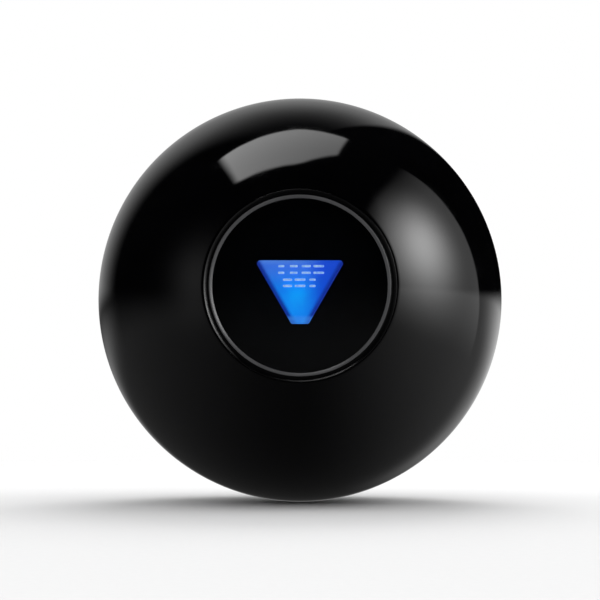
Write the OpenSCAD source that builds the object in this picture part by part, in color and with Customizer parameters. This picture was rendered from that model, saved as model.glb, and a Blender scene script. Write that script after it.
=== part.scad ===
// Liquid-filled answer ball: a two-piece hollow ball with a round window on one side, a flush
// imprint disc on the other, and a sealed reservoir in which a twenty-sided die floats.
// Millimetres, +Z up. The ball touches the floor at the origin and its axis lies level along Y.
// The window faces -Y and the imprint disc faces +Y. The die is stored pressed to the window.

/* [Ball] */
// Outside diameter of the ball
ball_d = 100; // [90:1:110]
// Wall thickness of both shell halves
wall = 2.6; // [2:0.1:3.5]
// Height of the lap joint between the shell halves
lap_h = 2.5; // [1.5:0.1:4]
// Size of the fine groove where the halves meet outside
seam = 0.25; // [0.1:0.05:0.5]

/* [Window] */
// Clear diameter inside the bezel ring
window_d = 39; // [34:0.5:42]
// Width of the bezel ring's flat
bezel_w = 2; // [1:0.1:3]
// Distance of the bezel ring's flat from the ball's centre
rim_height = 45.25; // [44:0.05:47]
// How far the window lens lies below the bezel ring's flat
lens_recess = 1.55; // [0.8:0.05:3]
// Thickness of the window lens
lens_t = 2.4; // [1.5:0.1:4]
// Thickness of the flat gasket under the lens
gasket_t = 0.8; // [0.5:0.1:1.5]

/* [Imprint disc] */
// Diameter of the imprint disc
disc_d = 41.4; // [30:0.2:50]
// Thickness of the imprint disc
disc_t = 0.9; // [0.5:0.1:2]
// Width of the ornament on the imprint disc
ornament_w = 21.5; // [10:0.5:30]
// Height of the ornament on the imprint disc
ornament_h = 9.1; // [5:0.1:15]
// Line width of the ornament
stroke = 1.6; // [0.8:0.1:3]

/* [Reservoir] */
// Inside diameter of the reservoir
reservoir_d = 41.2; // [38:0.2:44]
// Wall thickness of the reservoir
reservoir_wall = 2.2; // [1.5:0.1:3]
// Distance from the ball's centre down to the reservoir's open end
reservoir_end = 14; // [12:0.5:18]
// Distance from the ball's centre down to the bubble funnel's rim
funnel_rim = 1.5; // [0:0.5:4]
// Number of screws that clamp the reservoir
screw_count = 4; // [3:1:8]
// Radius of the screw circle
screw_circle_r = 30.5; // [29:0.5:32]

/* [Die] */
// Edge length of the die before its corners are cut
die_edge = 19.7; // [14:0.1:20]
// Length cut off each edge at each corner of the die
corner_cut = 1.3; // [0:0.1:3]
// Wall of the die at the middle of each face
die_wall = 1.6; // [1:0.1:3]
// Height of the raised glyph blocks on the die's faces
glyph_t = 0.3; // [0.2:0.05:0.5]
// Gap between the glyph blocks and the lens when the die is at the window
window_gap = 0.15; // [0.1:0.05:0.5]

/* [Hidden] */
$fn = 96;
ball_r = ball_d / 2;
inner_r = ball_r - wall;
opening_r = window_d / 2 + bezel_w + 0.1;
lens_r = opening_r + 1;
lens_top = rim_height - lens_recess;
lens_in = lens_top - lens_t;
gasket_in = lens_in - gasket_t;
bore_r = reservoir_d / 2;
tube_r = bore_r + reservoir_wall;
seat_r = tube_r + 0.1;
counterbore_r = bore_r + 0.6;
collar_r = tube_r + 2.8;
collar_top = 33;
collar_in = 30;
clamp_t = 2.5;
clamp_r = 35;
boss_r = 3.2;
screw_r = 1.45;
screw_l = 7.5;
head_r = 2.8;
head_t = 1.8;
cap_t = 2.5;
cap_in = reservoir_end + cap_t;
plug_seat = reservoir_end + 6;
neck_r = 3;
neck_z = 10;
film = 0.3;
disc_r = disc_d / 2;
die_r = die_edge * sqrt(phi() * sqrt(5)) / 2;
face_z = die_edge * phi() * phi() / (2 * sqrt(3));
corner_z = die_r - corner_cut * die_edge / (2 * die_r);
hollow_r = face_z - die_wall;
die_z = lens_in - window_gap - glyph_t - face_z;
clearance = glyph_t + 0.2;
lip_t = 1.1;
lip_h = 1.4;
black = [0.02, 0.02, 0.025];

// ---- Helpers. Everything is drawn about the ball's centre with the window towards +Z. ----

module place() {
  translate([0, 0, ball_r])
    rotate([90, 0, 0])
      children();
}

// A full ring of revolution from a list of [radius, height] points.
module turned(profile) {
  rotate_extrude()
    polygon(profile);
}

module ring(r_out, r_in, z_low, z_high) {
  turned([[r_in, z_low], [r_out, z_low], [r_out, z_high], [r_in, z_high]]);
}

module rod(r, z_low, z_high) {
  translate([0, 0, z_low])
    cylinder(r = r, h = z_high - z_low);
}

// The half of a ball that lies on the + or - side of its equator.
module half_ball(r, side) {
  intersection() {
    sphere(r);
    translate([0, 0, side * ball_d])
      cube(2 * ball_d, center = true);
  }
}

module at_screws() {
  for (i = [0 : screw_count - 1])
    rotate([0, 0, (i + 0.5) * 360 / screw_count])
      translate([screw_circle_r, 0, 0])
        children();
}

// ---- The die's geometry: corners, faces and a frame on each face. ----

function phi() = (1 + sqrt(5)) / 2;

function corners() = [
  for (turn = [0 : 2])
    for (s = [-1, 1])
      for (t = [-phi(), phi()])
        turn == 0 ? [0, s, t] : turn == 1 ? [s, t, 0] : [t, 0, s]
];

function adjacent(a, b) = norm(a - b) < 2.1;

function faces() = let (c = corners()) [
  for (i = [0 : 9])
    for (j = [i + 1 : 10])
      for (k = [j + 1 : 11])
        if (adjacent(c[i], c[j]) && adjacent(c[j], c[k]) && adjacent(c[i], c[k]))
          [c[i], c[j], c[k]]
];

function unit(v) = v / norm(v);

// Right, up and outward directions of a face, with the face's tip pointing down.
function raw_frame(f) = let (
  outward = unit(f[0] + f[1] + f[2]),
  up = unit(f[1] + f[2] - 2 * f[0])
) [cross(up, outward), up, outward];

base = raw_frame(faces()[0]);

// Turns a direction so that the first face looks along +Z with its tip towards -Y.
function turned_to_base(v) = [v * base[0], v * base[1], v * base[2]];

function face_frame(f) = [for (v = raw_frame(f)) turned_to_base(v)];

module on_frame(m) {
  multmatrix([
    [m[0][0], m[1][0], m[2][0], 0],
    [m[0][1], m[1][1], m[2][1], 0],
    [m[0][2], m[1][2], m[2][2], 0],
    [0, 0, 0, 1]
  ])
    children();
}

// Everything below a height, wide enough to hold the whole die.
module below(height) {
  translate([0, 0, height - 2 * ball_r])
    cube(4 * ball_r, center = true);
}

// The die's outside, offset outwards by grow, with its corners cut.
module die_body(grow) {
  intersection() {
    cube(2 * die_r + 4, center = true);
    intersection_for (f = faces())
      on_frame(face_frame(f))
        below(face_z + grow);
    intersection_for (c = corners())
      let (v = unit(turned_to_base(c)))
        rotate([0, acos(v[2]), atan2(v[1], v[0])])
          below(corner_z + grow);
  }
}

// A row of blocks that stand for a line of writing; seed varies the widths.
module glyph_row(count, pitch, height, y, seed) {
  for (i = [0 : count - 1])
    translate([(i - (count - 1) / 2) * pitch, y, glyph_t / 2])
      cube([pitch * (0.5 + 0.12 * ((3 * seed + 5 * i) % 4)), height, glyph_t], center = true);
}

// ---- Shell ----

module window_shell() {
  color(black)
    difference() {
      union() {
        difference() {
          half_ball(ball_r, 1);
          sphere(inner_r);
        }
        intersection() {
          sphere(ball_r - 1);
          union() {
            ring(seat_r + 2.3, seat_r, 37.5, rim_height);
            at_screws()
              rod(boss_r, collar_in, ball_r);
          }
        }
      }
      rod(opening_r, lens_in, ball_d);
      rod(seat_r, collar_in - 1, lens_top);
      rod(ball_r - wall + 1.1, -1, lap_h + 0.2);
      at_screws()
        rod(screw_r + 0.05, collar_in - 1, collar_in + screw_l - 2);
      turned([[ball_r - seam, -1], [ball_r + 1, -1], [ball_r + 1, 1 + seam], [ball_r - seam, 0]]);
    }
}

module back_shell() {
  color(black)
    difference() {
      union() {
        difference() {
          half_ball(ball_r, -1);
          sphere(inner_r);
        }
        ring(inner_r + 1, inner_r - 0.4, -3, lap_h);
        intersection() {
          sphere(ball_r - 1);
          union() {
            ring(tube_r + 2.4, tube_r + 0.4, -ball_r, -12);
            ring(tube_r + 1.4, bore_r, -cap_in - 2, -cap_in);
            for (i = [0 : 3])
              rotate([0, 0, i * 90])
                translate([tube_r + 1.4, -0.9, -ball_r])
                  cube([12, 1.8, ball_r - 18]);
          }
        }
      }
      difference() {
        rod(disc_r + 0.05, -ball_d, -30);
        sphere(ball_r - disc_t);
      }
      turned([[ball_r - seam, 0], [ball_r + 1, -1 - seam], [ball_r + 1, 1], [ball_r - seam, 1]]);
    }
}

module bezel_ring() {
  r_out = opening_r - 0.1;
  r_in = window_d / 2;
  color(black)
    turned([
      [r_in, lens_top], [r_out, lens_top], [r_out, rim_height - 0.2], [r_out - 0.2, rim_height],
      [r_in + 0.45, rim_height], [r_in, rim_height - 0.45]
    ]);
}

module window_lens() {
  bevel = 0.3;
  color([0.8, 0.85, 0.9, 0.4])
    turned([
      [0, lens_in], [lens_r - bevel, lens_in], [lens_r, lens_in + bevel],
      [lens_r, lens_top - bevel], [lens_r - bevel, lens_top], [0, lens_top]
    ]);
}

module window_gasket() {
  color([0.12, 0.12, 0.13])
    ring(tube_r - 0.1, bore_r + 0.1, gasket_in, lens_in);
}

module imprint_disc() {
  color([0.93, 0.93, 0.94])
    difference() {
      intersection() {
        sphere(ball_r);
        rod(disc_r, -ball_d, -30);
      }
      sphere(ball_r - disc_t);
      ornament_block(ball_r - disc_t / 2, ball_r + 1);
    }
}

module disc_ornament() {
  color(black)
    ornament_block(ball_r - disc_t / 2, ball_r);
}

// The ornament as an inlay between two radii, seen the right way round from outside.
module ornament_block(r_low, r_high) {
  difference() {
    intersection() {
      sphere(r_high);
      rotate([0, 180, 0])
        linear_extrude(height = ball_d)
          ornament();
    }
    sphere(r_low);
  }
}

// A diamond outline between two pairs of bars.
module ornament() {
  half = ornament_h / 2;
  bar_l = (ornament_w - ornament_h) / 2 - stroke;
  difference() {
    polygon([[half, 0], [0, half], [-half, 0], [0, -half]]);
    polygon([[half - 1.5 * stroke, 0], [0, half - 1.5 * stroke], [-half + 1.5 * stroke, 0],
      [0, -half + 1.5 * stroke]]);
  }
  for (sx = [-1, 1])
    for (sy = [-1, 1])
      translate([sx * (ornament_w - bar_l) / 2, sy * stroke])
        square([bar_l, stroke], center = true);
}

// ---- Reservoir ----

module reservoir_tube() {
  color([0.07, 0.07, 0.08])
    difference() {
      union() {
        rod(tube_r, -reservoir_end, gasket_in);
        rod(collar_r, collar_in, collar_top);
      }
      rod(bore_r, -reservoir_end - 1, gasket_in + 1);
      rod(counterbore_r, -reservoir_end - 1, -funnel_rim);
    }
}

module retaining_ring() {
  color([0.16, 0.16, 0.17])
    difference() {
      ring(clamp_r, tube_r + film, collar_in - clamp_t, collar_in);
      at_screws()
        rod(screw_r + 0.15, 0, ball_r);
    }
}

module reservoir_screws() {
  head_z = collar_in - clamp_t;
  color([0.7, 0.71, 0.73])
    at_screws()
      difference() {
        union() {
          rod(screw_r, head_z - 0.5, head_z + screw_l);
          rod(head_r, head_z - head_t, head_z);
        }
        for (turn = [0, 90])
          rotate([0, 0, turn])
            translate([0, 0, head_z - head_t])
              cube([3.2, 0.7, 2], center = true);
      }
}

module bubble_funnel() {
  rim_r = counterbore_r - 0.1;
  color([0.2, 0.2, 0.22])
    turned([
      [bore_r - 1, -funnel_rim], [rim_r, -funnel_rim], [rim_r, -funnel_rim - 2],
      [rim_r - 2.3, -funnel_rim - 2], [neck_r + 1.2, -neck_z - 0.8],
      [neck_r + 1.2, -neck_z - 2.5], [neck_r, -neck_z - 2.5], [neck_r, -neck_z]
    ]);
}

module end_cap() {
  spigot_r = counterbore_r - 0.1;
  groove_z = -reservoir_end + 3.5;
  color([0.07, 0.07, 0.08])
    difference() {
      union() {
        rod(tube_r, -cap_in, -reservoir_end);
        ring(spigot_r, spigot_r - 2.2, -reservoir_end - 0.5, -funnel_rim - 2);
        rod(8, -plug_seat, -cap_in + 0.5);
      }
      ring(spigot_r + 1, spigot_r - 1.35, groove_z - 1, groove_z + 1);
      rod(4, -plug_seat - 1, 0);
    }
}

module cap_o_ring() {
  color([0.12, 0.12, 0.13])
    translate([0, 0, -reservoir_end + 3.5])
      rotate_extrude()
        translate([counterbore_r - 0.74, 0])
          circle(r = 0.7, $fn = 32);
}

module fill_plug() {
  head_in = plug_seat + 0.8;
  color([0.2, 0.2, 0.22])
    difference() {
      union() {
        rod(3.9, -head_in - 0.5, -reservoir_end + 0.5);
        rod(6.5, -head_in - 2.5, -head_in);
      }
      translate([0, 0, -head_in - 2.5])
        cube([8, 1.2, 2.4], center = true);
    }
}

module plug_washer() {
  color([0.12, 0.12, 0.13])
    ring(6.2, 4, -plug_seat - 0.8, -plug_seat);
}

// ---- Contents ----

module liquid() {
  r = bore_r - film;
  color([0.02, 0.03, 0.12, 0.6])
    difference() {
      turned([
        [0, -neck_z + film + 0.1], [neck_r, -neck_z + film + 0.1], [bore_r - 1, -funnel_rim + film],
        [r, -funnel_rim + film], [r, lens_in - film], [0, lens_in - film]
      ]);
      translate([0, 0, die_z])
        die_body(clearance);
    }
}

module die_core() {
  color([0.03, 0.05, 0.3, 0.6])
    translate([0, 0, die_z])
      sphere(hollow_r - film);
}

module die_front_half() {
  color([0.1, 0.3, 0.9])
    translate([0, 0, die_z])
      difference() {
        die_body(0);
        sphere(hollow_r);
        below(0);
        rod(hollow_r + lip_t + 0.05, -1, lip_h + 0.1);
      }
}

module die_back_half() {
  color([0.1, 0.3, 0.9])
    translate([0, 0, die_z])
      difference() {
        union() {
          intersection() {
            die_body(0);
            below(0);
          }
          rod(hollow_r + lip_t, -1, lip_h);
        }
        sphere(hollow_r);
        rod(0.8, -die_edge, 0);
      }
}

module die_glyphs() {
  all = faces();
  color([0.75, 0.88, 1])
    translate([0, 0, die_z])
      for (i = [0 : len(all) - 1])
        on_frame(face_frame(all[i]))
          translate([0, 0, face_z]) {
            glyph_row(4, 2.5, 1.7, 3.4, i);
            glyph_row(3, 2.6, 1.6, 0.6, i + 2);
          }
}

place() window_shell();
place() back_shell();
place() bezel_ring();
place() window_lens();
place() window_gasket();
place() reservoir_tube();
place() retaining_ring();
place() reservoir_screws();
place() bubble_funnel();
place() end_cap();
place() cap_o_ring();
place() fill_plug();
place() plug_washer();
place() imprint_disc();
place() disc_ornament();
place() liquid();
place() die_core();
place() die_front_half();
place() die_back_half();
place() die_glyphs();
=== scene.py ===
import math

import bmesh
import bpy
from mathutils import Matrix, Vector

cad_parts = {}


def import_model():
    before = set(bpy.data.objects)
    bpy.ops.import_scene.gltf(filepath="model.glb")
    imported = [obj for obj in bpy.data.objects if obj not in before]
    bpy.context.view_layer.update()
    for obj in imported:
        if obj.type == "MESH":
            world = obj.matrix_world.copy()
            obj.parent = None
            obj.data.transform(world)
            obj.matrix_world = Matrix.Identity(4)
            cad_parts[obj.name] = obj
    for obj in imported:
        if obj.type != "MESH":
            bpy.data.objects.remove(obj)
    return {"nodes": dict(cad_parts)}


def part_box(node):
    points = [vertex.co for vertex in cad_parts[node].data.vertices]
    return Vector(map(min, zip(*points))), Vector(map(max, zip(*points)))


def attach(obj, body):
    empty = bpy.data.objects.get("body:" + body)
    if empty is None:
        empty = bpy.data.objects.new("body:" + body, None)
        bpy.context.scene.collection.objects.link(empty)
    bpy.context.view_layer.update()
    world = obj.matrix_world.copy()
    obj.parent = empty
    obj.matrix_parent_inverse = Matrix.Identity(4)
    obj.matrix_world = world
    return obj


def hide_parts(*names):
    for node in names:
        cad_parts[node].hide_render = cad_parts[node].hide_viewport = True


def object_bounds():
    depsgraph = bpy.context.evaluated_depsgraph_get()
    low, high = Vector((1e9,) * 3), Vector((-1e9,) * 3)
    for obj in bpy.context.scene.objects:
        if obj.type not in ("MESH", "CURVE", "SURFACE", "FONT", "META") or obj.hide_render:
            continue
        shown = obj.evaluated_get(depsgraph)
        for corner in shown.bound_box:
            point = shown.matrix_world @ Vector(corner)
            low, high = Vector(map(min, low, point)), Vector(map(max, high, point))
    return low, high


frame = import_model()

# ---- Dimensions, in millimetres about the ball's centre with the window towards +Z. ----

cad_lo, cad_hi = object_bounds()
BALL_R = round((cad_hi.x - cad_lo.x) * 500, 1)
INNER_R = 47.4
CENTRE = Vector((0, 0, BALL_R / 1000))
OPENING_R = 21.6
SEAT_R = 22.9
DISC_R = 20.7
DIE_EDGE = 19.7
PHI = (1 + math.sqrt(5)) / 2
DIE_R = DIE_EDGE * math.sqrt(PHI * math.sqrt(5)) / 2
FACE_Z = DIE_EDGE * PHI ** 2 / (2 * math.sqrt(3))
FACE_IN = round(DIE_EDGE / (2 * math.sqrt(3)), 2)
HOLLOW_R = FACE_Z - 1.6
MARK_T = 0.3
DIE_Z = -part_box("die_glyphs")[0].y * 1000 - FACE_Z - MARK_T
LENS_TOP = -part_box("window_lens")[0].y * 1000
LENS_IN = -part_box("window_lens")[1].y * 1000
BEZEL_TOP = -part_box("bezel_ring")[0].y * 1000
LIQUID_TOP = DIE_Z + FACE_Z - 0.18

# The camera is below the ball's centre by this many degrees, and this far away in metres.
CAMERA_BELOW = 4.2
CAMERA_AWAY = 0.4


def world(p):
    return Vector((p[0], -p[2], p[1] + BALL_R)) / 1000


# ---- Camera, at the photograph's angle: level, a little below the ball's centre. ----

def make_camera():
    cam = bpy.data.objects.new("camera", bpy.data.cameras.new("camera"))
    bpy.context.scene.collection.objects.link(cam)
    elevation = math.radians(-CAMERA_BELOW)
    back = Vector((0, -math.cos(elevation), math.sin(elevation)))
    cam.location = CENTRE + back * CAMERA_AWAY
    cam.rotation_mode = "QUATERNION"
    cam.rotation_quaternion = (-back).to_track_quat("-Z", "Y")
    cam.data.lens = 96
    cam.data.sensor_width = 36
    cam.data.clip_start = 0.01
    bpy.context.scene.camera = cam


make_camera()
bpy.context.scene.view_settings.view_transform = "Standard"
bpy.context.scene.view_settings.look = "None"


# ---- Node trees ----

class Nodes:
    """Short names for the nodes that the materials and the studio are made of."""

    def __init__(self, tree):
        self.tree = tree
        tree.nodes.clear()

    def add(self, kind, inputs=None, **props):
        node = self.tree.nodes.new(kind)
        for k, v in props.items():
            setattr(node, k, v)
        for k, v in (inputs or {}).items():
            self.put(node.inputs[k], v)
        return node

    def put(self, socket, value):
        if isinstance(value, bpy.types.NodeSocket):
            self.tree.links.new(value, socket)
        else:
            socket.default_value = value

    def math(self, op, a, b=0.0, c=0.0):
        node = self.add("ShaderNodeMath", operation=op)
        for socket, value in zip(node.inputs, (a, b, c)):
            self.put(socket, value)
        return node.outputs[0]

    def total(self, *terms):
        out = terms[0]
        for t in terms[1:]:
            out = self.math("ADD", out, t)
        return out

    def product(self, *terms):
        out = terms[0]
        for t in terms[1:]:
            out = self.math("MULTIPLY", out, t)
        return out

    def minus(self, a, b):
        return self.math("SUBTRACT", a, b)

    def ratio(self, a, b):
        return self.math("DIVIDE", a, b)

    def bump(self, height, strength, distance):
        inputs = {"Height": height, "Strength": strength, "Distance": distance}
        return self.add("ShaderNodeBump", inputs).outputs[0]

    def principled(self, base, rough, normal, extra):
        inputs = {"Base Color": base, "Roughness": rough, "Normal": normal}
        return self.add("ShaderNodeBsdfPrincipled", {**inputs, **extra})

    def surface(self, shader):
        self.add("ShaderNodeOutputMaterial", {"Surface": shader.outputs[0]})

    def step(self, value, low, high):
        """0 below low, 1 above high, smooth between; low may be the larger, for a falling edge."""
        node = self.add("ShaderNodeMapRange", interpolation_type="SMOOTHSTEP")
        flip = low > high
        for k, v in zip(("Value", "From Min", "From Max", "To Min", "To Max"),
                        (value, min(low, high), max(low, high), float(flip), float(not flip))):
            self.put(node.inputs[k], v)
        return node.outputs["Result"]

    def bell(self, *pairs):
        """exp(-sum(((value - centre) / width)^2))"""
        parts = []
        for value, centre, width in pairs:
            d = self.math("DIVIDE", self.math("SUBTRACT", value, centre), width)
            parts.append(self.math("MULTIPLY", d, d))
        return self.math("EXPONENT", self.math("MULTIPLY", self.total(*parts), -1.0))

    def noise(self, vector, scale, detail=3.0, rough=0.55):
        inputs = {"Vector": vector, "Scale": scale, "Detail": detail, "Roughness": rough}
        return self.add("ShaderNodeTexNoise", inputs).outputs["Fac"]

    def span(self, value, low, high, to_low, to_high):
        node = self.add("ShaderNodeMapRange")
        for k, v in zip(("Value", "From Min", "From Max", "To Min", "To Max"),
                        (value, low, high, to_low, to_high)):
            self.put(node.inputs[k], v)
        return node.outputs["Result"]

    def mix(self, factor, a, b):
        node = self.add("ShaderNodeMix", data_type="RGBA")
        self.put(node.inputs[0], factor)
        for socket, value in ((node.inputs[6], a), (node.inputs[7], b)):
            self.put(socket, (*value, 1.0) if isinstance(value, tuple) else value)
        return node.outputs[2]


def new_material(name):
    mat = bpy.data.materials.new(name)
    mat.use_nodes = True
    return mat, Nodes(mat.node_tree)


def scratches(n, obj, scale=260.0, thin=0.035):
    """Sparse hairline scratches: narrow bands of a stretched noise, in a few directions."""
    out = None
    for i, (rot, stretch) in enumerate((((0.4, 0.3, 0.9), (1, 14, 14)), ((1.1, 0.8, 0.1), (13, 1, 13)),
                                        ((0.2, 1.3, 2.2), (12, 15, 1)))):
        mapped = n.add("ShaderNodeMapping", {"Vector": obj, "Rotation": rot, "Scale": stretch}).outputs[0]
        band = n.math("ABSOLUTE", n.minus(n.noise(mapped, scale * (0.5 + 0.2 * i), 1.0), 0.5))
        line = n.step(band, thin * 0.22, 0.0)
        patch = n.step(n.noise(obj, 70.0 + 31 * i, 2.0), 0.56, 0.66)
        line = n.product(line, patch)
        out = line if out is None else n.math("MAXIMUM", out, line)
    return out


def plastic(name, colour, spread, roughness, orange_peel=0.0, grain=0.0, scratch=0.0, dust=0.0, metal=0.0):
    """Moulded plastic, rubber or metal: cloudy colour, uneven gloss, moulding grain and light wear."""
    mat, n = new_material(name)
    obj = n.add("ShaderNodeTexCoord").outputs["Object"]
    cloud = n.noise(obj, 55.0, 4.0)
    speck = n.noise(obj, 1400.0, 3.0, 0.7)
    light = tuple(min(1.0, c * (1 + spread) + spread * 0.004) for c in colour)
    base = n.mix(n.span(cloud, 0.3, 0.7, 0.0, 1.0), colour, light)
    base = n.mix(n.span(speck, 0.35, 0.75, 0.0, 0.5), base, tuple(c * (1 - 0.35 * spread) for c in colour))
    rough = n.span(n.total(n.product(cloud, 0.6), n.product(speck, 0.4)),
                   0.3, 0.7, roughness * 0.75, roughness * 1.3)
    height = n.product(n.noise(obj, 420.0, 2.0), orange_peel)
    height = n.total(height, n.product(speck, grain))
    if scratch:
        lines = scratches(n, obj)
        rough = n.total(rough, n.product(lines, scratch * 0.35))
        height = n.minus(height, n.product(lines, scratch * 0.012))
        scuffed = tuple(min(1.0, c * 1.4 + 0.012) for c in colour)
        base = n.mix(n.product(lines, scratch * 0.5), base, scuffed)
    if dust:
        grains = n.step(n.noise(obj, 2600.0, 1.0), 0.70, 0.78)
        base = n.mix(n.product(grains, dust), base, (0.3, 0.3, 0.31))
        rough = n.total(rough, n.product(grains, dust * 0.5))
    bump = n.bump(height, 0.6, 0.0004)
    n.surface(n.principled(base, rough, bump, {"Metallic": metal, "IOR": 1.5}))
    return mat


def radius_mm(n, obj):
    """Distance from the window's axis, and depth along it from the ball's centre, both in millimetres."""
    split = n.add("ShaderNodeSeparateXYZ", {"Vector": obj})
    x = n.product(split.outputs[0], 1000.0)
    up = n.product(n.minus(split.outputs[2], BALL_R / 1000), 1000.0)
    depth = n.product(split.outputs[1], -1000.0)
    r = n.math("SQRT", n.total(n.product(x, x), n.product(up, up)))
    return x, up, depth, r


def shell_material():
    """Deep black gloss moulding: almost a mirror, with faint flow marks and hairlines."""
    mat, n = new_material("gloss_black_shell")
    obj = n.add("ShaderNodeTexCoord").outputs["Object"]
    cloud = n.noise(obj, 38.0, 5.0, 0.6)
    speck = n.noise(obj, 1900.0, 2.0, 0.7)
    base = n.mix(n.span(cloud, 0.3, 0.7, 0.0, 1.0), (0.0003, 0.0003, 0.0004), (0.0008, 0.0008, 0.0011))
    lines = scratches(n, obj, 300.0, 0.02)
    base = n.mix(n.product(lines, 0.35), base, (0.012, 0.012, 0.013))
    smear = n.step(n.noise(obj, 90.0, 3.0), 0.5, 0.75)
    rough = n.total(n.span(cloud, 0.3, 0.7, 0.03, 0.055), n.product(smear, 0.02),
                    n.product(lines, 0.10), n.product(speck, 0.012))
    height = n.minus(n.product(n.noise(obj, 130.0, 2.0), 0.09), n.product(lines, 0.01))
    n.surface(n.principled(base, rough, n.bump(height, 0.35, 0.0004), {"IOR": 1.5}))
    return mat


def bezel_material():
    """Black ring whose inner bead is a little rougher and painted a patchy grey as a painted highlight."""
    mat, n = new_material("bezel_black_lip_painted_highlight")
    obj = n.add("ShaderNodeTexCoord").outputs["Object"]
    x, up, depth, r = radius_mm(n, obj)
    # Painted highlight: the top of the inner bead is painted grey, unevenly, for the bright line of light
    # along it.
    bead = n.product(n.step(r, 20.28, 20.16), n.step(depth, BEZEL_TOP - 0.75, BEZEL_TOP - 0.55))
    speck = n.noise(obj, 2200.0, 3.0, 0.7)
    highlight_patchiness = n.span(n.noise(obj, 160.0, 3.0), 0.35, 0.65, 0.8, 1.0)
    base = n.mix(n.product(bead, highlight_patchiness), (0.0008, 0.0008, 0.001), (0.07, 0.07, 0.073))
    rough = n.total(n.span(speck, 0.3, 0.7, 0.08, 0.13), n.product(bead, 0.12))
    turned = n.product(n.math("SINE", n.product(r, 95.0)), 0.02)
    bump = n.bump(n.total(turned, n.product(speck, 0.03)), 0.4, 0.0002)
    n.surface(n.principled(base, rough, bump, {"IOR": 1.5}))
    return mat


def lens_material():
    """Clear acrylic. Shadow rays pass, so the light reaches the die."""
    mat, n = new_material("clear_acrylic")
    obj = n.add("ShaderNodeTexCoord").outputs["Object"]
    hair = scratches(n, obj, 280.0, 0.012)
    haze = n.span(n.noise(obj, 600.0, 3.0), 0.3, 0.7, 0.0, 0.02)
    rough = n.total(haze, n.product(hair, 0.05))
    bump = n.bump(n.noise(obj, 70.0, 2.0), 0.08, 0.0002)
    glass = n.principled((0.97, 0.985, 1.0, 1.0), rough, bump, {"IOR": 1.49, "Transmission Weight": 1.0})
    clear = n.add("ShaderNodeBsdfTransparent")
    path = n.add("ShaderNodeLightPath")
    shadow = path.outputs["Is Shadow Ray"]
    mixed = n.add("ShaderNodeMixShader", {0: shadow, 1: glass.outputs[0], 2: clear.outputs[0]})
    n.surface(mixed)
    return mat


def disc_material():
    """Bright white pad-printing disc: glossy, faintly cloudy, greyer in a narrow band at its edge."""
    mat, n = new_material("white_disc_plastic")
    obj = n.add("ShaderNodeTexCoord").outputs["Object"]
    x, up, depth, r = radius_mm(n, obj)
    cloud = n.noise(obj, 60.0, 4.0)
    speck = n.noise(obj, 1500.0, 3.0, 0.7)
    base = n.mix(n.span(cloud, 0.3, 0.7, 0.0, 1.0), (0.78, 0.78, 0.79), (0.83, 0.83, 0.835))
    base = n.mix(n.product(n.step(speck, 0.62, 0.75), 0.25), base, (0.70, 0.70, 0.72))
    # Greyer in a narrow band just inside the disc's edge.
    base = n.mix(n.product(n.step(r, DISC_R - 0.45, DISC_R - 0.02), 0.6), base, (0.54, 0.54, 0.56))
    lines = scratches(n, obj, 300.0, 0.02)
    rough = n.total(n.span(cloud, 0.3, 0.7, 0.16, 0.24), n.product(lines, 0.12))
    height = n.minus(n.product(speck, 0.03), n.product(lines, 0.012))
    n.surface(n.principled(base, rough, n.bump(height, 0.4, 0.0003), {"IOR": 1.5}))
    return mat


def liquid_material():
    """Blue-black dye: so dense that only what touches the window shows."""
    mat, n = new_material("dyed_liquid_dark")
    obj = n.add("ShaderNodeTexCoord").outputs["Object"]
    inputs = {"Vector": obj, "Scale": 120.0, "Detail": 4.0, "Distortion": 1.6}
    swirl = n.add("ShaderNodeTexNoise", inputs).outputs["Fac"]
    base = n.mix(n.span(swirl, 0.3, 0.7, 0.0, 1.0), (0.0020, 0.0025, 0.0034), (0.0030, 0.0038, 0.0056))
    rough = n.span(swirl, 0.3, 0.7, 0.45, 0.6)
    n.surface(n.principled(base, rough, n.bump(swirl, 0.1, 0.0003), {"Specular IOR Level": 0.05}))
    return mat


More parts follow.
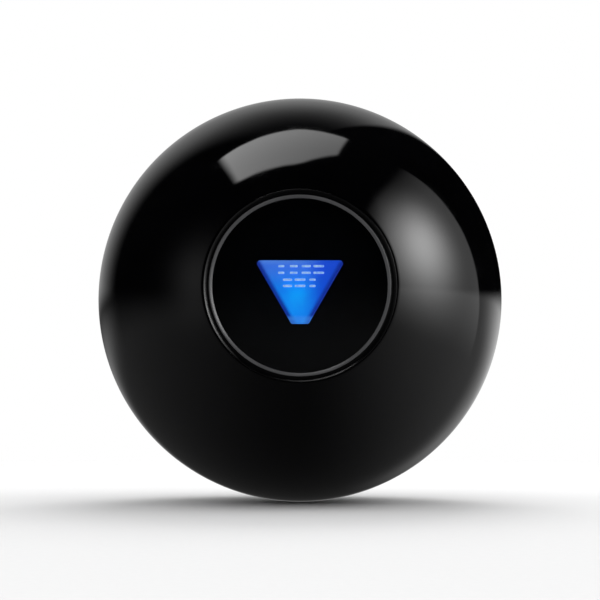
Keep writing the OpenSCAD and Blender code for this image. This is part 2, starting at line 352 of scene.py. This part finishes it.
def die_material():
    """Translucent blue plastic with painted light: painted shade leaves it royal blue at the top, on the
    right, along the front face's edges and deep navy where it sits deeper in the dye; a painted glow makes it
    azure low down; painted highlights lie below the top edge and at the tip; the whole die emits a painted
    glow.
    """
    mat, n = new_material("blue_die_plastic")
    obj = n.add("ShaderNodeTexCoord").outputs["Object"]
    x, up, depth, r = radius_mm(n, obj)
    # Painted shade and glow: darker royal blue at the top of the face, brighter azure low down.
    base = n.mix(n.step(up, 5.2, -1.5), (0.045, 0.17, 0.74), (0.003, 0.24, 0.93))
    # Painted glow: a bright azure patch low in the middle of the face.
    base = n.mix(n.product(n.bell((x, -0.6, 3.0), (up, -2.8, 3.0)), 0.9), base, (0.003, 0.36, 1.0))
    # Painted shade: darker towards the right.
    base = n.mix(n.product(n.step(x, 0.5, 5.5), 0.85), base, (0.004, 0.055, 0.64))
    slant = n.product(n.math("ABSOLUTE", x), 0.866)
    rim_side = n.minus(n.total(FACE_IN, n.product(up, 0.5)), slant)
    # Painted highlight: a paler band just below the top edge, strongest on the left.
    painted_highlight_band = n.product(n.step(up, 4.6, 5.6), n.step(x, 7.0, -3.0), 0.6)
    base = n.mix(painted_highlight_band, base, (0.09, 0.25, 0.80))
    # Painted shade: dark navy along the face's edges, where the dye covers the slopes.
    base = n.mix(n.product(n.step(rim_side, 1.3, 0.15), 0.95), base, (0.003, 0.018, 0.28))
    # Painted highlight: a lighter glint at the cut tip.
    base = n.mix(n.product(n.step(up, -6.3, -7.2), 0.5), base, (0.06, 0.30, 0.88))
    cloud = n.noise(obj, 260.0, 4.0, 0.6)
    speck = n.noise(obj, 1700.0, 2.0, 0.7)
    base = n.mix(n.span(cloud, 0.40, 0.7, 0.0, 0.25), base, (0.006, 0.08, 0.55))
    # Painted shade: dark navy wherever the die sits more than a fraction of a millimetre behind its front
    # face, for the shade of the dye.
    painted_depth_shade = n.step(depth, DIE_Z + FACE_Z - 0.10, DIE_Z + FACE_Z - 0.65)
    base = n.mix(painted_depth_shade, base, (0.002, 0.012, 0.14))
    rough = n.span(cloud, 0.3, 0.7, 0.28, 0.42)
    bump = n.bump(n.total(n.product(cloud, 0.25), n.product(speck, 0.12)), 0.35, 0.0003)
    # Painted glow: the die emits its own colour, though it is no lamp.
    painted_glow = {"Emission Color": base, "Emission Strength": 0.80, "IOR": 1.49}
    n.surface(n.principled(base, rough, bump, painted_glow))
    return mat


def glyph_material():
    mat, n = new_material("pale_blue_marks")
    obj = n.add("ShaderNodeTexCoord").outputs["Object"]
    x, up, depth, r = radius_mm(n, obj)
    ink = n.noise(obj, 900.0, 4.0, 0.65)
    base = n.mix(n.span(ink, 0.38, 0.66, 0.0, 1.0), (0.50, 0.72, 1.0), (0.20, 0.45, 1.0))
    rough = n.span(ink, 0.3, 0.7, 0.35, 0.6)
    # Painted glow: the marks emit their own pale blue, though they are no lamp.
    painted_glow = {"Emission Color": base, "Emission Strength": 0.6}
    n.surface(n.principled(base, rough, n.bump(ink, 0.4, 0.0001), painted_glow))
    return mat


# ---- Mesh code ----

def soften(points, steps=5):
    """Rounds the corners of a closed [radius, height] outline. A third number is a corner's radius."""
    out = []
    count = len(points)
    for i, p in enumerate(points):
        rad = p[2] if len(p) > 2 else 0
        here = Vector(p[:2])
        if not rad:
            out.append(here)
            continue
        before, after = Vector(points[i - 1][:2]) - here, Vector(points[(i + 1) % count][:2]) - here
        turn = before.angle(after)
        reach = min(rad / math.tan(turn / 2), before.length * 0.48, after.length * 0.48)
        a, b = here + before.normalized() * reach, here + after.normalized() * reach
        for k in range(steps + 1):
            t = k / steps
            out.append(a * (1 - t) ** 2 + here * (2 * t * (1 - t)) + b * t ** 2)
    return out


def arc(radius, start, end, count):
    """Points on a sphere's outline about the ball's centre, from one height to another."""
    a, b = math.asin(start / radius), math.asin(max(-1.0, min(1.0, end / radius)))
    return [(radius * math.cos(a + (b - a) * i / count), radius * math.sin(a + (b - a) * i / count))
            for i in range(count + 1)]


def lathe_into(bm, profile, segments, turn=None):
    """Adds a closed ring of revolution to bm. Points on the axis become single vertices."""
    rings = []
    for r, z in profile:
        if abs(r) < 1e-6:
            rings.append([bm.verts.new((0, 0, z))])
        else:
            angles = [2 * math.pi * k / segments for k in range(segments)]
            rings.append([bm.verts.new((r * math.cos(a), r * math.sin(a), z)) for a in angles])
    faces = []
    for i, low in enumerate(rings):
        high = rings[(i + 1) % len(rings)]
        if len(low) == 1 and len(high) == 1:
            continue
        for k in range(segments):
            m = (k + 1) % segments
            corners = [low[k % len(low)], low[m % len(low)], high[m % len(high)], high[k % len(high)]]
            unique = list(dict.fromkeys(corners))
            if len(unique) > 2:
                faces.append(bm.faces.new(unique))
    if turn:
        for v in {v for ring in rings for v in ring}:
            v.co = turn(v.co)
    return faces


def finish_mesh(bm, name, body, material, nodes=(), sharp=32.0):
    """Turns a local-frame bmesh into a piece in the shared frame, smooth except at real edges."""
    bmesh.ops.recalc_face_normals(bm, faces=bm.faces[:])
    for v in bm.verts:
        v.co = world(v.co)
    mesh = bpy.data.meshes.new(name)
    bm.to_mesh(mesh)
    bm.free()
    mesh.polygons.foreach_set("use_smooth", [True] * len(mesh.polygons))
    mesh.set_sharp_from_angle(angle=math.radians(sharp))
    mesh.materials.append(material)
    piece = bpy.data.objects.new(name, mesh)
    bpy.context.scene.collection.objects.link(piece)
    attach(piece, body)
    if nodes:
        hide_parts(*nodes)
    return piece


def window_shell():
    bm = bmesh.new()
    rim = math.sqrt(BALL_R ** 2 - OPENING_R ** 2)
    outer = arc(BALL_R, 0.28, rim, 60)
    profile = [(BALL_R - 0.3, 0.0, 0.1)] + outer[:-1] + [(OPENING_R, rim, 0.3), (OPENING_R, LENS_TOP)]
    profile += [(SEAT_R, LENS_TOP), (SEAT_R, 37.5, 0.3), (SEAT_R + 2.3, 37.5, 0.3)]
    profile += arc(INNER_R, math.sqrt(INNER_R ** 2 - (SEAT_R + 2.3) ** 2), 2.7, 40)
    profile += [(48.5, 2.7), (48.5, 0.0, 0.1)]
    lathe_into(bm, soften(profile), 256)
    for k in range(4):
        a = math.radians(45 + 90 * k)
        cx, cy = 30.5 * math.cos(a), 30.5 * math.sin(a)

        def place(co, cx=cx, cy=cy):
            x, y = co.x + cx, co.y + cy
            z = math.sqrt(48.6 ** 2 - x * x - y * y) if co.z > 60 else co.z
            return Vector((x, y, z))

        boss = [(0, 100), (3.2, 100), (3.2, 30, 0.25), (1.5, 30, 0.2), (1.5, 35.5), (0, 35.5)]
        lathe_into(bm, soften(boss, 3), 40, place)
    return finish_mesh(bm, "window_shell_gloss", "ball", MATS["shell"], ["window_shell"])


def back_shell():
    bm = bmesh.new()
    edge = -math.sqrt(BALL_R ** 2 - (DISC_R + 0.05) ** 2)
    recess = BALL_R - 0.9
    floor = -math.sqrt(recess ** 2 - (DISC_R + 0.05) ** 2)
    profile = [(BALL_R - 0.3, 0.0, 0.1)] + arc(BALL_R, -0.28, edge, 60)[:-1] + [(DISC_R + 0.05, edge, 0.14)]
    profile += arc(recess, floor, -recess, 24)[:-1] + [(0, -recess), (0, -INNER_R)]
    profile += arc(INNER_R, -INNER_R, -math.sqrt(INNER_R ** 2 - 23.2 ** 2), 20)[1:]
    profile += [(23.2, -18.5), (20.6, -18.5, 0.3), (20.6, -16.5, 0.3), (23.2, -16.5)]
    profile += [(23.2, -12, 0.3), (25.2, -12, 0.3)]
    profile += arc(INNER_R, -math.sqrt(INNER_R ** 2 - 25.2 ** 2), -3.0, 40)
    profile += [(47.0, -3.0), (47.0, 2.5, 0.25), (48.4, 2.5, 0.25), (48.4, 0.0)]
    lathe_into(bm, soften(profile), 256)
    for k in range(4):
        a = math.radians(90 * k)
        ca, sa = math.cos(a), math.sin(a)
        count = 10
        columns = []
        for i in range(count + 1):
            r = 24.4 + 11.8 * i / count
            bottom = -math.sqrt(48.6 ** 2 - r * r)
            columns.append([bm.verts.new((r * ca - t * sa, r * sa + t * ca, z))
                            for t, z in ((-0.9, bottom), (0.9, bottom), (0.75, -18.0), (-0.75, -18.0))])
        for a_col, b_col in zip(columns, columns[1:]):
            for j in range(4):
                bm.faces.new((a_col[j], a_col[(j + 1) % 4], b_col[(j + 1) % 4], b_col[j]))
        bm.faces.new(columns[0])
        bm.faces.new(columns[-1])
    return finish_mesh(bm, "back_shell_gloss", "ball", MATS["shell"], ["back_shell"])


def bezel():
    bm = bmesh.new()
    top = BEZEL_TOP
    profile = [(19.5, LENS_TOP, 0.1), (21.5, LENS_TOP, 0.1), (21.5, top, 0.09), (21.36, top, 0.05),
               (20.85, top - 0.47, 0.1), (20.42, top - 0.47, 0.1), (20.26, top - 0.1, 0.1),
               (20.02, top, 0.12), (19.5, top - 0.34, 0.14)]
    lathe_into(bm, soften(profile, 6), 256)
    return finish_mesh(bm, "bezel_ring_lipped", "ball", MATS["bezel"], ["bezel_ring"], 40)


def lens():
    bm = bmesh.new()
    profile = [(0, LENS_IN), (22.6, LENS_IN, 0.3), (22.6, LENS_TOP, 0.3), (0, LENS_TOP)]
    outline = soften(profile, 4)
    fine = []
    for a, b in zip(outline, outline[1:]):
        parts = 8 if (a - b).length > 10 else 1
        fine += [a + (b - a) * i / parts for i in range(parts)]
    lathe_into(bm, [tuple(p) for p in fine] + [tuple(outline[-1])], 192)
    return finish_mesh(bm, "window_lens_clear", "ball", MATS["lens"], ["window_lens"])


def imprint_disc():
    bm = bmesh.new()
    inner, top = BALL_R - 0.9, BALL_R
    inner_edge, top_edge = -math.sqrt(inner ** 2 - DISC_R ** 2), -math.sqrt(top ** 2 - DISC_R ** 2)
    profile = [(0, -inner)] + arc(inner, -inner, inner_edge, 24)[1:-1]
    profile += [(DISC_R, inner_edge, 0.08), (DISC_R, top_edge, 0.16)]
    profile += arc(top, top_edge, -top, 36)[1:-1] + [(0, -top)]
    lathe_into(bm, soften(profile), 192)
    return finish_mesh(bm, "imprint_disc_white", "ball", MATS["disc"], ["imprint_disc"])


def ornament():
    """The generic mark, a diamond outline between two pairs of bars, printed 0.03 mm proud of the disc."""
    bm = bmesh.new()
    stroke, width, height = 1.6, 21.5, 9.1
    half, bar = height / 2, (width - height) / 2 - stroke

    def slab(quads):
        """A thin curved layer over one quad, or over a run of quads that closes on itself."""
        nu, nv = 16, 4
        closed = len(quads) > 1
        rows = []
        for quad in quads:
            for i in range(nu if closed else nu + 1):
                u = i / nu
                near, far = quad[0] * (1 - u) + quad[1] * u, quad[3] * (1 - u) + quad[2] * u
                rows.append([near * (1 - j / nv) + far * (j / nv) for j in range(nv + 1)])
        low, high = ([[bm.verts.new((p.x, p.y, -math.sqrt(radius ** 2 - p.x ** 2 - p.y ** 2))) for p in row]
                      for row in rows] for radius in (BALL_R - 0.02, BALL_R + 0.03))
        for i in range(len(rows) if closed else len(rows) - 1):
            m = (i + 1) % len(rows)
            for grid in (low, high):
                for j in range(nv):
                    bm.faces.new((grid[i][j], grid[m][j], grid[m][j + 1], grid[i][j + 1]))
            for j in (0, nv):
                bm.faces.new((low[i][j], low[m][j], high[m][j], high[i][j]))
        if not closed:
            for i in (0, len(rows) - 1):
                for j in range(nv):
                    bm.faces.new((low[i][j], low[i][j + 1], high[i][j + 1], high[i][j]))

    outer = [Vector((half, 0)), Vector((0, half)), Vector((-half, 0)), Vector((0, -half))]
    inner = [p * ((half - 1.5 * stroke) / half) for p in outer]
    slab([[outer[k], outer[(k + 1) % 4], inner[(k + 1) % 4], inner[k]] for k in range(4)])
    for sx in (-1, 1):
        for sy in (-1, 1):
            cx, cy = sx * (width - bar) / 2, sy * stroke
            slab([[Vector((cx - bar / 2, cy - stroke / 2)), Vector((cx + bar / 2, cy - stroke / 2)),
                   Vector((cx + bar / 2, cy + stroke / 2)), Vector((cx - bar / 2, cy + stroke / 2))]])
    return finish_mesh(bm, "disc_ornament_print", "ball", MATS["ink"], ["disc_ornament"])


def liquid():
    """The dye, the CAD's film clear of tank and funnel, its flat front just behind the die's face."""
    bm = bmesh.new()
    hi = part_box("liquid")[1]
    radius, bottom = hi.x * 1000, -hi.y * 1000
    film, neck = 0.3, 3.0
    shoulder = -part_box("bubble_funnel")[0].y * 1000 + film
    profile = [(0, bottom), (neck, bottom), (radius + film - 1, shoulder), (radius, shoulder),
               (radius, LIQUID_TOP, 0.2), (0, LIQUID_TOP)]
    lathe_into(bm, [tuple(p) for p in soften(profile, 3)], 192)
    return finish_mesh(bm, "liquid_dark", "liquid", MATS["liquid"], ["liquid"])


# ---- The die ----

def die_frames():
    """The die's corners and face frames. The first face looks along +Z with its tip towards -Y."""
    corners = []
    for turn in range(3):
        for s in (-1, 1):
            for t in (-PHI, PHI):
                corners.append(Vector(((0, s, t), (s, t, 0), (t, 0, s))[turn]))
    faces = []
    for i in range(10):
        for j in range(i + 1, 11):
            for k in range(j + 1, 12):
                a, b, c = corners[i], corners[j], corners[k]
                if max((a - b).length, (b - c).length, (a - c).length) < 2.1:
                    faces.append((a, b, c))

    def raw(f):
        out = (f[0] + f[1] + f[2]).normalized()
        up = (f[1] + f[2] - 2 * f[0]).normalized()
        return (up.cross(out), up, out)

    base = raw(faces[0])

    def turned(v):
        return Vector((v.dot(base[0]), v.dot(base[1]), v.dot(base[2])))

    scale = DIE_EDGE / 2
    return [turned(c) * scale for c in corners], [tuple(turned(v) for v in raw(f)) for f in faces]


DIE_CORNERS, DIE_FACES = die_frames()


def die_front():
    """Front half of the die: bevels, cut corners, a hollow and the rebate for the other half's lip."""
    bm = bmesh.new()
    for c in DIE_CORNERS:
        bm.verts.new(c)
    bmesh.ops.convex_hull(bm, input=bm.verts[:])
    tip = min((c for c in DIE_CORNERS if c.z > 10), key=lambda c: c.y)
    for c in DIE_CORNERS:
        cut = 3.7 if c is tip else 0.7
        axis = c.normalized()
        geom = bm.verts[:] + bm.edges[:] + bm.faces[:]
        done = bmesh.ops.bisect_plane(bm, geom=geom, plane_co=axis * (DIE_R - cut * DIE_EDGE / (2 * DIE_R)),
                                      plane_no=axis, clear_outer=True)
        edges = [e for e in done["geom_cut"] if isinstance(e, bmesh.types.BMEdge)]
        bmesh.ops.contextual_create(bm, geom=edges)
    bmesh.ops.bevel(bm, geom=bm.edges[:], offset=0.24, segments=3, profile=0.5, affect="EDGES",
                    clamp_overlap=True)
    geom = bm.verts[:] + bm.edges[:] + bm.faces[:]
    done = bmesh.ops.bisect_plane(bm, geom=geom, plane_co=(0, 0, 0), plane_no=(0, 0, -1), clear_outer=True)
    rim = [e for e in done["geom_cut"] if isinstance(e, bmesh.types.BMEdge)]
    lip_r = HOLLOW_R + 1.15
    count = 72
    inner = [(lip_r, 0.0), (lip_r, 1.5)]
    start = math.asin(1.5 / HOLLOW_R)
    inner += [(HOLLOW_R * math.cos(start + (math.pi / 2 - start) * i / 12),
               HOLLOW_R * math.sin(start + (math.pi / 2 - start) * i / 12)) for i in range(12)]
    rings = [[bm.verts.new((r * math.cos(2 * math.pi * k / count), r * math.sin(2 * math.pi * k / count), z))
              for k in range(count)] for r, z in inner]
    top = bm.verts.new((0, 0, HOLLOW_R))
    for low, high in zip(rings, rings[1:]):
        for k in range(count):
            bm.faces.new((low[k], low[(k + 1) % count], high[(k + 1) % count], high[k]))
    for k in range(count):
        bm.faces.new((rings[-1][k], rings[-1][(k + 1) % count], top))
    bm.edges.ensure_lookup_table()
    loop = [bm.edges.get((rings[0][k], rings[0][(k + 1) % count])) for k in range(count)]
    bmesh.ops.triangle_fill(bm, use_beauty=True, edges=rim + loop, normal=(0, 0, -1))
    for v in bm.verts:
        v.co.z += DIE_Z
    return finish_mesh(bm, "die_front_bevelled", "die", MATS["die"], ["die_front_half"], 25)


def bar_into(bm, frame_axes, cx, cy, wide, tall, corner):
    """One raised mark with rounded corners and a softened top, on a face of the die."""
    right, up, out = frame_axes
    ring = []
    for qx, qy, a0 in ((1, 1, 0), (-1, 1, 90), (-1, -1, 180), (1, -1, 270)):
        for s in range(5):
            a = math.radians(a0 + 22.5 * s)
            ring.append((qx * (wide / 2 - corner) + corner * math.cos(a),
                         qy * (tall / 2 - corner) + corner * math.sin(a)))
    levels = []
    for h, inset in ((-0.05, 0.0), (0.18, 0.0), (0.26, 0.03), (MARK_T, 0.1)):
        level = []
        for dx, dy in ring:
            p = (right * (cx + dx * (1 - inset / (wide / 2))) + up * (cy + dy * (1 - inset / (tall / 2)))
                 + out * (FACE_Z + h))
            level.append(bm.verts.new((p.x, p.y, p.z + DIE_Z)))
        levels.append(level)
    size = len(ring)
    for low, high in zip(levels, levels[1:]):
        for k in range(size):
            bm.faces.new((low[k], low[(k + 1) % size], high[(k + 1) % size], high[k]))
    bm.faces.new(levels[0])
    bm.faces.new(levels[-1])


def glyph_marks():
    """Two rows of plain marks on each of the die's faces. Each mark is a pair of level dashes."""
    bm = bmesh.new()
    stroke = 0.5
    for index, axes in enumerate(DIE_FACES):
        for count, pitch, tall, y, seed in ((4, 2.8, 2.0, 3.8, index), (3, 2.8, 1.9, 0.8, index + 2)):
            for i in range(count):
                wide = pitch * (0.5 + 0.12 * ((3 * seed + 5 * i) % 4))
                cx = (i - (count - 1) / 2) * pitch
                for side in (-1, 1):
                    bar_into(bm, axes, cx, y + side * (tall - stroke) / 2, wide, stroke, 0.2)
    return finish_mesh(bm, "die_marks_rounded", "die", MATS["glyph"], ["die_glyphs"], 40)


# ---- Studio ----

def studio():
    """A white room to the camera and to matt surfaces. Gloss sees soft boxes, a backdrop and a dark room."""
    w = bpy.data.worlds.new("studio")
    bpy.context.scene.world = w
    w.use_nodes = True
    n = Nodes(w.node_tree)
    direction = n.add("ShaderNodeTexCoord").outputs["Generated"]
    split = n.add("ShaderNodeSeparateXYZ", {"Vector": direction})
    x, y, z = split.outputs
    high = n.math("MAXIMUM", z, 0.02)
    u, v = n.ratio(x, high), n.ratio(y, high)
    overhead = n.product(
        n.step(u, -0.60, -0.50), n.step(n.minus(u, n.product(v, 0.10)), 0.28, 0.25),
        n.step(n.minus(v, n.product(u, 0.13)), -0.265, -0.21),
        n.step(n.minus(v, n.product(u, 0.7)), -0.265, -0.21),
        n.step(n.minus(v, n.product(u, 0.23)), 0.30, 0.27),
        n.step(n.total(v, n.product(u, 0.14)), 0.30, 0.27), n.step(z, 0.1, 0.2),
        n.span(u, -0.5, 0.3, 3.7, 1.75))
    right = n.math("MAXIMUM", x, 0.05)
    t, s = n.ratio(z, right), n.ratio(y, right)
    lit = n.step(x, 0.05, 0.2)
    wall = n.product(n.step(s, -1.1, -0.5), n.step(t, 1.5, 0.7), n.step(t, -0.35, 0.1))
    edge = n.total(s, n.product(t, 0.16))
    panel = n.product(lit, n.step(edge, 0.59, 0.55), n.step(t, 1.45, 1.2), n.total(
        n.product(n.bell((t, 0.42, 0.34), (s, -0.23, 0.30)), 6.0),
        n.product(n.bell((t, 0.55, 0.45), (s, -0.55, 0.35)), 2.0), n.product(wall, 0.5)))
    flat = n.math("SQRT", n.total(n.product(x, x), n.product(y, y)))
    back = n.ratio(y, n.math("MAXIMUM", flat, 0.001))
    behind = n.math("MAXIMUM", y, 0.02)
    wedge = n.step(n.minus(n.ratio(x, behind), n.product(z, 0.59)), 0.06, -0.02)
    backdrop = n.product(n.step(z, 0.03, 0.10), n.step(y, 0.0, 0.1), n.step(back, 0.58, 0.94), wedge,
                         n.product(n.step(z, 1.0, 0.60), 0.43))
    low = n.total(n.product(n.step(x, -0.25, 0.1), n.step(z, 0.09, 0.04)),
                 n.product(n.step(x, 0.1, -0.25), n.step(z, 0.10, -0.20)))
    ground = n.product(low, n.total(
        0.04, n.product(x, x, n.span(x, -0.1, 0.1, 0.13, 0.38)),
        n.product(n.step(y, 0.5, 0.9), n.bell((z, 0.0, 0.13)), 0.6),
        n.product(n.step(y, 0.6, 0.9), n.step(x, 0.1, 0.4), n.bell((z, -0.25, 0.25)), 0.32)))
    left_glow = n.product(n.bell((x, -0.85, 0.25), (y, -0.52, 0.26), (z, 0.14, 0.28)), 0.28)
    gloss = n.total(0.001, overhead, panel, backdrop, ground, left_glow)
    path = n.add("ShaderNodeLightPath")
    fill = n.span(z, -0.2, 1.0, 0.84, 1.0)
    camera = path.outputs["Is Camera Ray"]
    shiny = n.math("MAXIMUM", path.outputs["Is Glossy Ray"], path.outputs["Is Transmission Ray"])
    strength = n.total(n.product(shiny, gloss),
                      n.product(n.minus(1.0, shiny), fill))
    strength = n.total(n.product(n.minus(1.0, camera), strength), camera)
    background = n.add("ShaderNodeBackground", {"Color": (1.0, 1.0, 1.0, 1.0), "Strength": strength})
    n.add("ShaderNodeOutputWorld", {"Surface": background.outputs[0]})

    for name, place, size, power in (("back_softbox", (0.04, 0.30, 0.46), (0.30, 0.22), 1.1),
                                     ("right_softbox", (0.50, 0.10, 0.40), (0.36, 0.36), 0.4)):
        light = bpy.data.objects.new(name, bpy.data.lights.new(name, "AREA"))
        light.data.shape = "RECTANGLE"
        light.data.size, light.data.size_y = size
        light.data.energy = power
        light.location = place
        light.rotation_euler = (CENTRE - Vector(place)).to_track_quat("-Z", "Y").to_euler()
        light.visible_glossy = False
        bpy.context.scene.collection.objects.link(light)


def floor():
    """A pale floor, as a disc that melts into the background."""
    bm = bmesh.new()
    count = 96
    rings = [[bm.verts.new((r * math.cos(2 * math.pi * k / count), r * math.sin(2 * math.pi * k / count), 0))
              for k in range(count)] for r in (0.03, 0.08, 0.16, 0.3, 0.5, 0.9)]
    middle = bm.verts.new((0, 0, 0))
    for k in range(count):
        bm.faces.new((middle, rings[0][k], rings[0][(k + 1) % count]))
    for low, high in zip(rings, rings[1:]):
        for k in range(count):
            bm.faces.new((low[k], high[k], high[(k + 1) % count], low[(k + 1) % count]))
    mesh = bpy.data.meshes.new("floor")
    bm.to_mesh(mesh)
    bm.free()
    mat, n = new_material("pale_floor")
    obj = n.add("ShaderNodeTexCoord").outputs["Object"]
    away = n.add("ShaderNodeVectorMath", {0: obj}, operation="LENGTH").outputs["Value"]
    grain = n.noise(obj, 700.0, 3.0)
    base = n.mix(n.span(grain, 0.3, 0.7, 0.0, 1.0), (0.80, 0.80, 0.805), (0.82, 0.82, 0.82))
    matt = {"Base Color": base, "Roughness": 0.9, "Specular IOR Level": 0.1}
    diffuse = n.add("ShaderNodeBsdfPrincipled", matt)
    clear = n.add("ShaderNodeBsdfTransparent")
    fade = n.step(away, 0.06, 0.42)
    mixed = n.add("ShaderNodeMixShader", {0: fade, 1: diffuse.outputs[0], 2: clear.outputs[0]})
    n.surface(mixed)
    mesh.materials.append(mat)
    obj = bpy.data.objects.new("floor", mesh)
    obj.location.z = -0.0001
    obj.visible_glossy = False
    obj.visible_transmission = False
    bpy.context.scene.collection.objects.link(obj)


# ---- Build ----

MATS = {
    "shell": shell_material(),
    "bezel": bezel_material(),
    "lens": lens_material(),
    "disc": disc_material(),
    "ink": plastic("ink_black_print", (0.006, 0.006, 0.007), 0.3, 0.35, grain=0.06, scratch=0.3),
    "liquid": liquid_material(),
    "die": die_material(),
    "glyph": glyph_material(),
    "rubber": plastic("seal_rubber", (0.012, 0.012, 0.013), 0.5, 0.62, orange_peel=0.2, grain=0.3, dust=0.25),
    "tank": plastic("reservoir_plastic", (0.012, 0.012, 0.014), 0.4, 0.34, orange_peel=0.15, grain=0.1,
                    scratch=0.4),
    "clamp": plastic("clamp_plastic", (0.020, 0.020, 0.022), 0.4, 0.45, orange_peel=0.2, grain=0.35,
                     scratch=0.5),
    "steel": plastic("screw_steel", (0.55, 0.56, 0.58), 0.12, 0.28, grain=0.2, scratch=1.0, metal=1.0),
    "die_inner": plastic("die_core_liquid", (0.006, 0.02, 0.13), 0.4, 0.3, orange_peel=0.05),
}

window_shell()
back_shell()
bezel()
lens()
imprint_disc()
ornament()
liquid()
die_front()
glyph_marks()

for node, mat in {
    "window_gasket": "rubber", "cap_o_ring": "rubber", "plug_washer": "rubber", "reservoir_tube": "tank",
    "end_cap": "tank", "bubble_funnel": "clamp", "fill_plug": "clamp", "retaining_ring": "clamp",
    "reservoir_screws": "steel", "die_core": "die_inner", "die_back_half": "die",
}.items():
    mesh_slots = frame["nodes"][node].material_slots
    if len(mesh_slots) == 0:
        frame["nodes"][node].data.materials.append(MATS[mat])
    for mesh_slot in mesh_slots:
        mesh_slot.material = MATS[mat]

studio()
floor()
